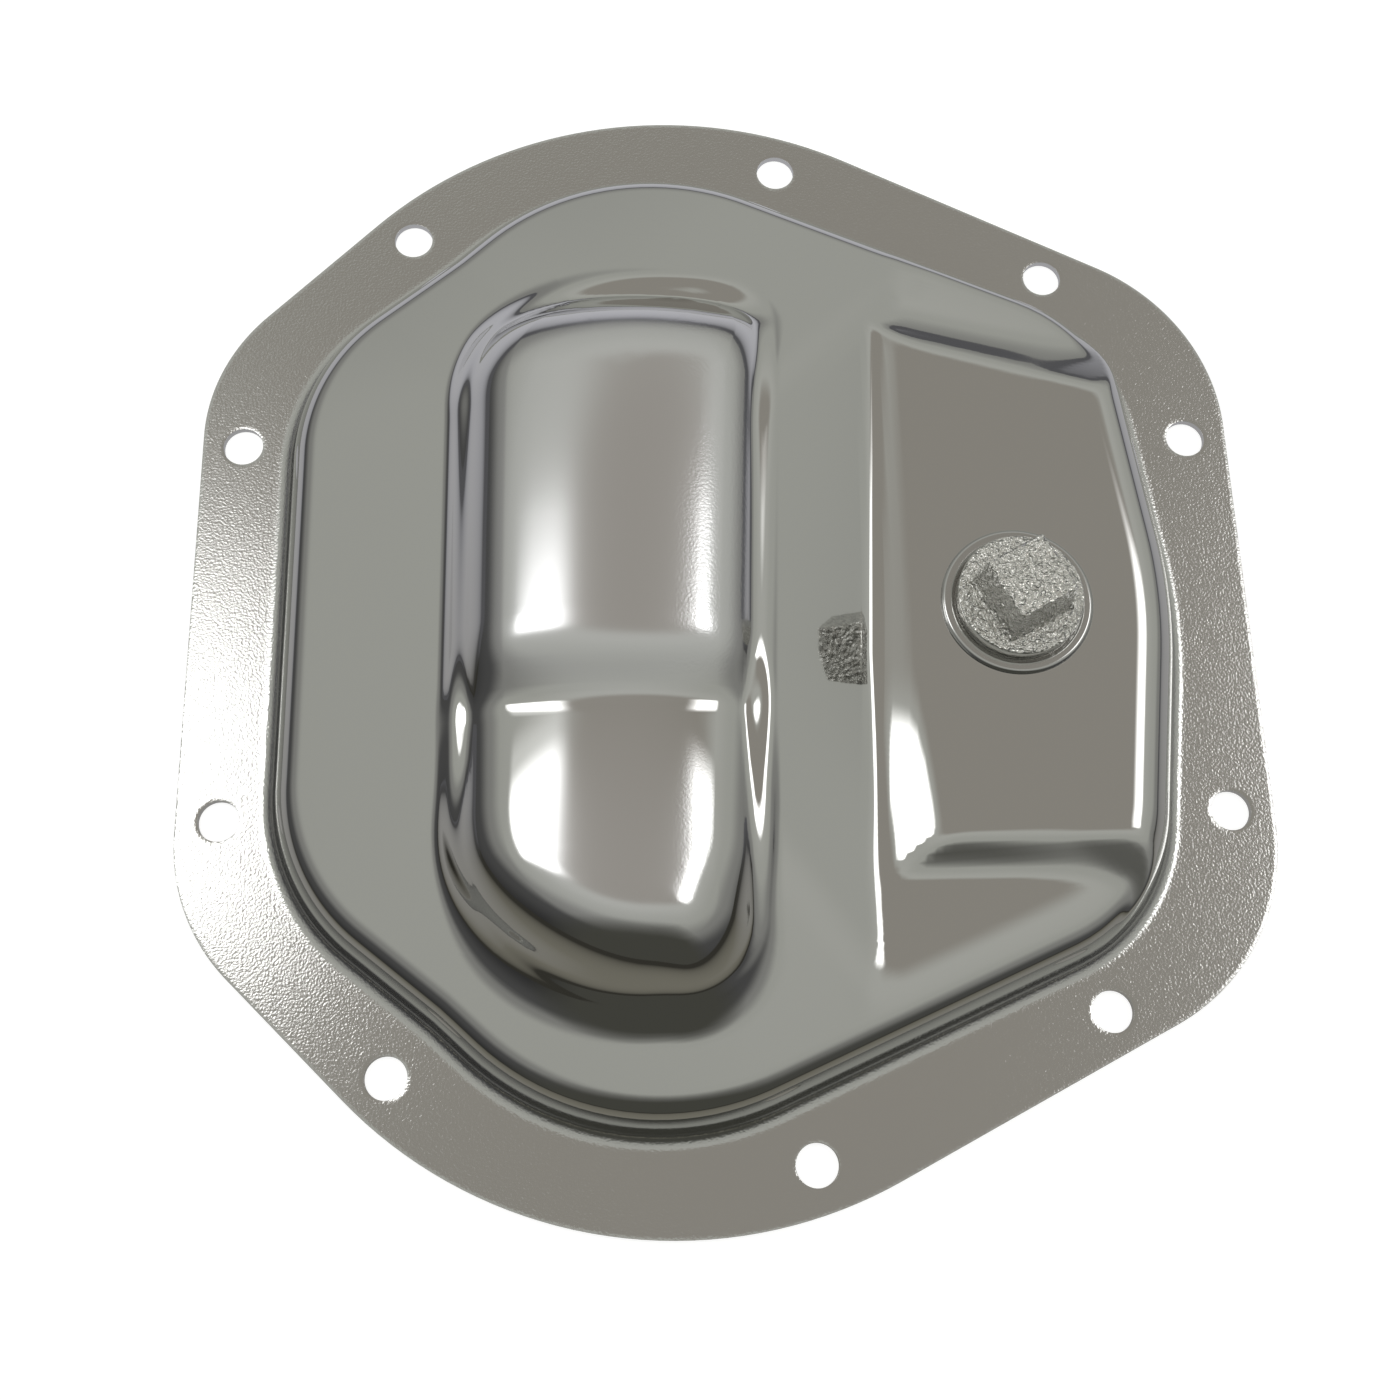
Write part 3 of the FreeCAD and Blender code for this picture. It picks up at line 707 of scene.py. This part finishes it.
def inside_chrome():
    """The thinner, duller chrome that reaches the inside of the pressing."""
    material, nodes, links = principled("inside_chrome")
    shader = nodes["Principled BSDF"]
    shader.inputs["Base Color"].default_value = INSIDE_COLOUR
    shader.inputs["Metallic"].default_value = 1.0
    shader.inputs["Roughness"].default_value = INSIDE_ROUGHNESS
    return material


CAST_COLOUR = (0.74, 0.735, 0.71, 1)
TURNED_ROUGHNESS = 0.12
CAST_ROUGHNESS = 0.14
CAST_FROM = 0.5
CAST_SIZE = 1.0
CAST_DEPTH = 1.4
TURNED_GRAIN = 0.06
HEAD_GRAIN = 0.96


def cast_plate():
    """Plated casting: grained on the collar and the head, and turned smooth on the thread below."""
    material, nodes, links = principled("cast_plate")
    tree = material.node_tree
    shader = nodes["Principled BSDF"]
    shader.inputs["Base Color"].default_value = CAST_COLOUR
    shader.inputs["Metallic"].default_value = 1.0
    place = nodes.new("ShaderNodeTexCoord")
    axes = nodes.new("ShaderNodeSeparateXYZ")
    links.new(place.outputs["Object"], axes.inputs[0])
    rough = share_above(tree, axes.outputs[2], COLLAR_Z - CAST_FROM, CAST_FROM)
    roughness = maths(tree, "MULTIPLY_ADD", rough, CAST_ROUGHNESS - TURNED_ROUGHNESS, TURNED_ROUGHNESS)
    links.new(roughness, shader.inputs["Roughness"])
    strength = maths(tree, "MULTIPLY_ADD", rough, HEAD_GRAIN - TURNED_GRAIN, TURNED_GRAIN)
    grained = grain(tree, place.outputs["Object"], CAST_SIZE, CAST_DEPTH, strength)
    links.new(grained, shader.inputs["Normal"])
    return material


STEEL_COLOUR = (0.55, 0.55, 0.545, 1)
STEEL_ROUGHNESS = 0.14
LATHE_RINGS = 0.5
LATHE_WANDER = 0.6
LATHE_DEPTH = 0.02
LATHE_STRENGTH = 0.25


def turned_steel():
    """Bright steel with the fine rings that a lathe leaves."""
    material, nodes, links = principled("turned_steel")
    tree = material.node_tree
    shader = nodes["Principled BSDF"]
    shader.inputs["Base Color"].default_value = STEEL_COLOUR
    shader.inputs["Metallic"].default_value = 1.0
    shader.inputs["Roughness"].default_value = STEEL_ROUGHNESS
    place = nodes.new("ShaderNodeTexCoord")
    centred = nodes.new("ShaderNodeVectorMath")
    centred.operation = "SUBTRACT"
    centred.inputs[1].default_value = (PLUG_AT[0] * MM, PLUG_AT[1] * MM, 0)
    links.new(place.outputs["Object"], centred.inputs[0])
    rings = nodes.new("ShaderNodeTexWave")
    rings.wave_type = "RINGS"
    rings.rings_direction = "Z"
    rings.inputs["Scale"].default_value = LATHE_RINGS / MM
    rings.inputs["Distortion"].default_value = LATHE_WANDER
    links.new(centred.outputs[0], rings.inputs["Vector"])
    bump = nodes.new("ShaderNodeBump")
    bump.inputs["Strength"].default_value = LATHE_STRENGTH
    bump.inputs["Distance"].default_value = LATHE_DEPTH * MM
    links.new(rings.outputs["Fac"], bump.inputs["Height"])
    links.new(bump.outputs["Normal"], shader.inputs["Normal"])
    return material


def turned(bm, outline):
    """Turns an outline of (radius, z, radius of the corner) about the plug's axis."""
    path = rounded(outline, step=15.0, closed=False)
    verts = [bm.verts.new((PLUG_AT[0] + r, PLUG_AT[1], z)) for r, z in path]
    edges = [bm.edges.new(pair) for pair in zip(verts, verts[1:])]
    bmesh.ops.spin(bm, geom=verts + edges, cent=(*PLUG_AT, 0.0), axis=(0, 0, 1), angle=2 * math.pi,
                   steps=96, use_merge=True)
    bmesh.ops.remove_doubles(bm, verts=bm.verts, dist=0.005)


def fitting(name, bm, material, node):
    """Makes a turned or cast piece from its bmesh in millimetres, and puts it in the place of its node."""
    bmesh.ops.recalc_face_normals(bm, faces=bm.faces)
    bmesh.ops.scale(bm, vec=(MM, MM, MM), verts=bm.verts)
    mesh = bpy.data.meshes.new(name)
    bm.to_mesh(mesh)
    bm.free()
    mesh.materials.append(material)
    mesh.shade_smooth()
    mesh.set_sharp_from_angle(angle=math.radians(35))
    piece = new_object(name, mesh)
    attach(piece, "root")
    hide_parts(node)
    return piece


def taper_at(z):
    """Radius of the pipe thread's cone at a height."""
    return THREAD_RADIUS - (LIP_Z - z) * tangent(THREAD_TAPER)


def bung():
    """Ring that is brazed into the pocket, with the lip that shows round the plug."""
    bm = bmesh.new()
    bore = taper_at(BUNG_END_Z)
    turned(bm, [
        (bore, BUNG_END_Z, 0.0),
        (taper_at(POCKET_Z), POCKET_Z, TURNED_CHAMFER),
        (THREAD_RADIUS + LIP_LEANS[0], LIP_Z, LIP_CORNERS[0]),
        (LIP_RADIUS - LIP_LEANS[1], LIP_Z, LIP_CORNERS[1]),
        (LIP_RADIUS, POCKET_Z, TURNED_EDGE),
        (BUNG_RADIUS, POCKET_Z, TURNED_EDGE),
        (BUNG_RADIUS, BUNG_END_Z, TURNED_CHAMFER),
        (bore, BUNG_END_Z, 0.0),
    ])
    return fitting("bung", bm, turned_steel(), "fill_bung")


def plug():
    """Taper and collar turned in one, with the cast square head on top."""
    bm = bmesh.new()
    end = taper_at(THREAD_END_Z) - THREAD_GAP
    turned(bm, [
        (0.0, THREAD_END_Z, 0.0),
        (end, THREAD_END_Z, COLLAR_CORNER),
        (THREAD_RADIUS - THREAD_GAP, LIP_Z, COLLAR_FOOT),
        (THREAD_RADIUS, LIP_Z + 2 * COLLAR_FOOT, COLLAR_FOOT),
        (THREAD_RADIUS, COLLAR_Z, COLLAR_CORNER),
        (0.0, COLLAR_Z, 0.0),
    ])
    head = bmesh.new()
    bmesh.ops.create_cube(head, size=1.0)
    bmesh.ops.bevel(head, geom=head.edges, offset=HEAD_CORNER, affect="EDGES", segments=3, profile=0.5,
                    material=-1)
    bmesh.ops.subdivide_edges(head, edges=[edge for edge in head.edges if edge.calc_length() > 0.5],
                              cuts=27, use_grid_fill=True)
    turn = Matrix.Rotation(math.radians(HEAD_TURN), 3, "Z")
    for vert in head.verts:
        share = vert.co.z + 0.5
        width = HEAD_WIDTHS[0] + (HEAD_WIDTHS[1] - HEAD_WIDTHS[0]) * share
        flared = width * (1 + FLARE * max(0.0, 1 - share / FLARE_HEIGHT) ** 2)
        place = turn @ Vector((vert.co.x * flared, vert.co.y * flared, 0))
        height = COLLAR_Z - HEAD_SUNK + (HEAD_Z - COLLAR_Z + HEAD_PROUD) * share
        vert.co = (PLUG_AT[0] + place.x, PLUG_AT[1] + place.y, height)
    head.normal_update()
    for vert in head.verts:
        lump = noise.noise(vert.co * 1.1) + 0.5 * noise.noise(vert.co * 2.7)
        vert.co += vert.normal * CAST_GRAIN * (lump - CAST_SHRINK)
    mesh = bpy.data.meshes.new("head")
    head.to_mesh(mesh)
    head.free()
    bm.from_mesh(mesh)
    bpy.data.meshes.remove(mesh)
    return fitting("plug", bm, cast_plate(), "fill_plug")


# Camera of the photograph, solved from the flange outline and the bolt holes
CAMERA_AT = (-20.82, -126.95, 346.98)
CAMERA_RIGHT = (0.99912621, -0.02319941, 0.03476495)
CAMERA_DOWN = (-0.01168898, -0.9537111, -0.30049709)
CAMERA_AHEAD = (0.04012707, 0.29982816, -0.95314894)
LENS = 41.98


def camera():
    """Looks at the cover as the photograph does."""
    data = bpy.data.cameras.new("camera")
    data.lens = LENS
    data.sensor_width = 36.0
    data.clip_start = 0.01
    piece = bpy.data.objects.new("camera", data)
    bpy.context.scene.collection.objects.link(piece)
    right = Vector(CAMERA_RIGHT)
    up = -Vector(CAMERA_DOWN)
    back = -Vector(CAMERA_AHEAD)
    turn = Matrix((right, up, back)).transposed().to_4x4()
    piece.matrix_world = Matrix.Translation(Vector(CAMERA_AT) * MM) @ turn
    bpy.context.scene.camera = piece


# The lit sheet under the cover: radii between which it fades out, and what a mirror sees of it
LIT_SHEET = (150.0, 520.0)
SHEET_MIRRORED = 1.0
BEYOND_MIRRORED = 0.2
# In front of the cover the floor that mirrors see is darker: painted shade
MIRRORED_SHADE_IN_FRONT = (0.24, 0.23, 0.19, 1)
MIRRORED_BEHIND = (0.62, 0.62, 0.66, 1)
# The ground's white is its own light and what it reflects, so that a shadow still shows on it
GROUND_COLOUR = (0.42, 0.42, 0.42, 1)
GROUND_LIGHT = 0.84
# The floor lies just under the gasket face. Its gap is in millimetres and its radius in metres
FLOOR_GAP = 0.1
FLOOR_RADIUS = 4.0


def white_ground():
    """White that keeps the shadow, and that a mirror sees as a lit sheet on a darker floor, with painted
    shade in front.
    """
    material, nodes, links = principled("white_floor")
    tree = material.node_tree
    shader = nodes["Principled BSDF"]
    shader.inputs["Base Color"].default_value = GROUND_COLOUR
    shader.inputs["Roughness"].default_value = 1.0
    shader.inputs["Specular IOR Level"].default_value = 0.0
    place = nodes.new("ShaderNodeTexCoord")
    span = nodes.new("ShaderNodeVectorMath")
    span.operation = "LENGTH"
    links.new(place.outputs["Object"], span.inputs[0])
    near, far = (radius * MM for radius in LIT_SHEET)
    past_sheet = maths(tree, "SUBTRACT", span.outputs["Value"], near)
    outward = maths(tree, "DIVIDE", past_sheet, far - near, clamp=True)
    mirrored_light = maths(tree, "MULTIPLY_ADD", outward, BEYOND_MIRRORED - SHEET_MIRRORED, SHEET_MIRRORED)
    path = nodes.new("ShaderNodeLightPath")
    mirrors = (path.outputs["Is Glossy Ray"], path.outputs["Is Transmission Ray"])
    in_mirror = maths(tree, "ADD", *mirrors, clamp=True)
    seen = maths(tree, "MULTIPLY", path.outputs["Is Camera Ray"], GROUND_LIGHT)
    axes = nodes.new("ShaderNodeSeparateXYZ")
    links.new(place.outputs["Object"], axes.inputs[0])
    # Darker towards the front: painted shade on the floor that the chrome mirrors
    behind = maths(tree, "MULTIPLY_ADD", axes.outputs[1], 1 / (2 * near), 0.5, clamp=True)
    mirrored_colour = nodes.new("ShaderNodeMix")
    mirrored_colour.data_type = "RGBA"
    mirrored_colour.inputs["A"].default_value = MIRRORED_SHADE_IN_FRONT
    mirrored_colour.inputs["B"].default_value = MIRRORED_BEHIND
    links.new(behind, mirrored_colour.inputs["Factor"])
    own_light = nodes.new("ShaderNodeEmission")
    links.new(seen, own_light.inputs["Strength"])
    both = nodes.new("ShaderNodeAddShader")
    links.new(shader.outputs[0], both.inputs[0])
    links.new(own_light.outputs[0], both.inputs[1])
    in_chrome = nodes.new("ShaderNodeEmission")
    links.new(mirrored_colour.outputs["Result"], in_chrome.inputs["Color"])
    links.new(mirrored_light, in_chrome.inputs["Strength"])
    mix = nodes.new("ShaderNodeMixShader")
    links.new(in_mirror, mix.inputs[0])
    links.new(both.outputs[0], mix.inputs[1])
    links.new(in_chrome.outputs[0], mix.inputs[2])
    # From below the floor is clear, so that the inside of the cover can be looked at
    face = nodes.new("ShaderNodeNewGeometry")
    clear = nodes.new("ShaderNodeBsdfTransparent")
    from_below = nodes.new("ShaderNodeMixShader")
    links.new(face.outputs["Backfacing"], from_below.inputs[0])
    links.new(mix.outputs[0], from_below.inputs[1])
    links.new(clear.outputs[0], from_below.inputs[2])
    links.new(from_below.outputs[0], nodes["Material Output"].inputs["Surface"])
    return material


def floor():
    bm = bmesh.new()
    bmesh.ops.create_circle(bm, cap_ends=True, segments=96, radius=FLOOR_RADIUS)
    bmesh.ops.translate(bm, vec=(0, 0, -FLOOR_GAP * MM), verts=bm.verts)
    mesh = bpy.data.meshes.new("floor")
    bm.to_mesh(mesh)
    bm.free()
    mesh.materials.append(white_ground())
    new_object("floor", mesh)


# Surroundings in the chrome, as linear colours by the angle from the middle of a brown ceiling
CEILING_MIDDLE = (0.14, 0.26, 0.955)
SURROUNDINGS = [
    (0.0, (0.375, 0.355, 0.318)),
    (24.0, (0.375, 0.355, 0.318)),
    (36.0, (0.555, 0.560, 0.520)),
    (60.0, (0.490, 0.497, 0.458)),
    (76.0, (0.30, 0.30, 0.285)),
    (90.0, (0.09, 0.09, 0.09)),
    (110.0, (0.04, 0.04, 0.04)),
]
SURROUNDINGS_SPAN = 120.0
# Far soft light at the right: where it starts and ends, in degrees towards +X and towards +Y
FAR_LIGHT_X = (25.0, 47.0)
FAR_LIGHT_Y = (-8.0, 30.0)
FAR_LIGHT_SOFTNESS = 6.0
FAR_LIGHT_FALLOFF = 1.5
FAR_LIGHT_STRENGTH = 2.4
# The room's colour in front, and where it takes over: the part of a direction along -Y
FRONT_COLOUR = (0.08, 0.08, 0.068, 1)
FRONT_FROM = (0.72, 0.90)


def window(tree, value, low, high, softness):
    """1 between low and high, and 0 outside, changing over the softness at either end."""
    rise = maths(tree, "DIVIDE", maths(tree, "SUBTRACT", value, low), softness, clamp=True)
    fall = maths(tree, "DIVIDE", maths(tree, "SUBTRACT", high, value), softness, clamp=True)
    both = maths(tree, "MULTIPLY", rise, fall)
    return maths(tree, "POWER", both, FAR_LIGHT_FALLOFF)


def sky():
    """The room that the chrome mirrors."""
    world = bpy.data.worlds.new("studio")
    bpy.context.scene.world = world
    world.use_nodes = True
    tree = world.node_tree
    place = tree.nodes.new("ShaderNodeTexCoord")
    axes = tree.nodes.new("ShaderNodeSeparateXYZ")
    tree.links.new(place.outputs["Generated"], axes.inputs[0])
    x, y, z = axes.outputs
    toward = tree.nodes.new("ShaderNodeVectorMath")
    toward.operation = "DOT_PRODUCT"
    toward.inputs[1].default_value = Vector(CEILING_MIDDLE).normalized()
    tree.links.new(place.outputs["Generated"], toward.inputs[0])
    away = maths(tree, "ARCCOSINE", toward.outputs["Value"])
    share = maths(tree, "DIVIDE", away, math.radians(SURROUNDINGS_SPAN), clamp=True)
    ramp = tree.nodes.new("ShaderNodeValToRGB")
    ramp.color_ramp.interpolation = "EASE"
    stops = ramp.color_ramp.elements
    while len(stops) < len(SURROUNDINGS):
        stops.new(0.5)
    for stop, (angle, colour) in zip(stops, SURROUNDINGS):
        stop.position = angle / SURROUNDINGS_SPAN
        stop.color = (*colour, 1)
    tree.links.new(share, ramp.inputs[0])
    rightward = maths(tree, "MULTIPLY", maths(tree, "ARCTAN2", x, z), 180 / math.pi)
    outward = maths(tree, "MULTIPLY", maths(tree, "ARCTAN2", y, z), 180 / math.pi)
    light = maths(tree, "MULTIPLY",
                  window(tree, rightward, *FAR_LIGHT_X, FAR_LIGHT_SOFTNESS),
                  window(tree, outward, *FAR_LIGHT_Y, FAR_LIGHT_SOFTNESS))
    added = tree.nodes.new("ShaderNodeMix")
    added.data_type = "RGBA"
    added.blend_type = "ADD"
    added.inputs["Factor"].default_value = 1.0
    tree.links.new(ramp.outputs[0], added.inputs["A"])
    tree.links.new(maths(tree, "MULTIPLY", light, FAR_LIGHT_STRENGTH), added.inputs["B"])
    past_front = maths(tree, "SUBTRACT", maths(tree, "MULTIPLY", y, -1.0), FRONT_FROM[0])
    in_front = maths(tree, "DIVIDE", past_front, FRONT_FROM[1] - FRONT_FROM[0], clamp=True)
    with_front = tree.nodes.new("ShaderNodeMix")
    with_front.data_type = "RGBA"
    with_front.inputs["B"].default_value = FRONT_COLOUR
    tree.links.new(in_front, with_front.inputs["Factor"])
    tree.links.new(added.outputs["Result"], with_front.inputs["A"])
    room = tree.nodes["Background"]
    tree.links.new(with_front.outputs["Result"], room.inputs["Color"])
    # To the eye the room is plain white
    white = tree.nodes.new("ShaderNodeBackground")
    white.inputs["Color"].default_value = (1, 1, 1, 1)
    path = tree.nodes.new("ShaderNodeLightPath")
    seen = tree.nodes.new("ShaderNodeMixShader")
    tree.links.new(path.outputs["Is Camera Ray"], seen.inputs[0])
    tree.links.new(room.outputs[0], seen.inputs[1])
    tree.links.new(white.outputs[0], seen.inputs[2])
    tree.links.new(seen.outputs[0], tree.nodes["World Output"].inputs["Surface"])


# Soft light close by at the left: edges of its face in millimetres, and how bright a mirror sees it at
# shares of its width and length
NEAR_LIGHT_X = (-420.0, -150.0)
NEAR_LIGHT_Y = (-60.0, 250.0)
NEAR_LIGHT_Z = 400.0
NEAR_LIGHT_RADIANCE = 2.6
ACROSS_NEAR_LIGHT = [(0.0, 0.0), (0.16, 1.0), (0.76, 1.0), (1.0, 0.0)]
ALONG_NEAR_LIGHT = [(0.0, 0.0), (0.20, 0.15), (0.40, 1.0), (0.80, 1.0), (0.97, 0.0)]


def profile(tree, value, stops):
    """Smooth curve through (position, height) stops, as the output of a ramp."""
    ramp = tree.nodes.new("ShaderNodeValToRGB")
    ramp.color_ramp.interpolation = "EASE"
    elements = ramp.color_ramp.elements
    while len(elements) < len(stops):
        elements.new(0.5)
    for element, (position, height) in zip(elements, stops):
        element.position = position
        element.color = (height, height, height, 1)
    tree.links.new(value, ramp.inputs[0])
    return ramp.outputs[0]


def near_light():
    """Softbox that makes the white areas on the flange and the lobes."""
    data = bpy.data.lights.new("left_softbox", "AREA")
    data.shape = "RECTANGLE"
    data.size = (NEAR_LIGHT_X[1] - NEAR_LIGHT_X[0]) * MM
    data.size_y = (NEAR_LIGHT_Y[1] - NEAR_LIGHT_Y[0]) * MM
    data.energy = NEAR_LIGHT_RADIANCE * math.pi * data.size * data.size_y
    data.use_nodes = True
    tree = data.node_tree
    face = tree.nodes.new("ShaderNodeNewGeometry")
    axes = tree.nodes.new("ShaderNodeSeparateXYZ")
    tree.links.new(face.outputs["Parametric"], axes.inputs[0])
    across = profile(tree, axes.outputs[0], ACROSS_NEAR_LIGHT)
    along = profile(tree, maths(tree, "SUBTRACT", 1.0, axes.outputs[1]), ALONG_NEAR_LIGHT)
    tree.links.new(maths(tree, "MULTIPLY", across, along), tree.nodes["Emission"].inputs["Strength"])
    piece = bpy.data.objects.new("left_softbox", data)
    bpy.context.scene.collection.objects.link(piece)
    piece.location = (sum(NEAR_LIGHT_X) / 2 * MM, sum(NEAR_LIGHT_Y) / 2 * MM, NEAR_LIGHT_Z * MM)
    piece.visible_camera = False


bpy.context.scene.view_settings.view_transform = "Standard"
camera()
cover()
bung()
plug()
floor()
sky()
near_light()
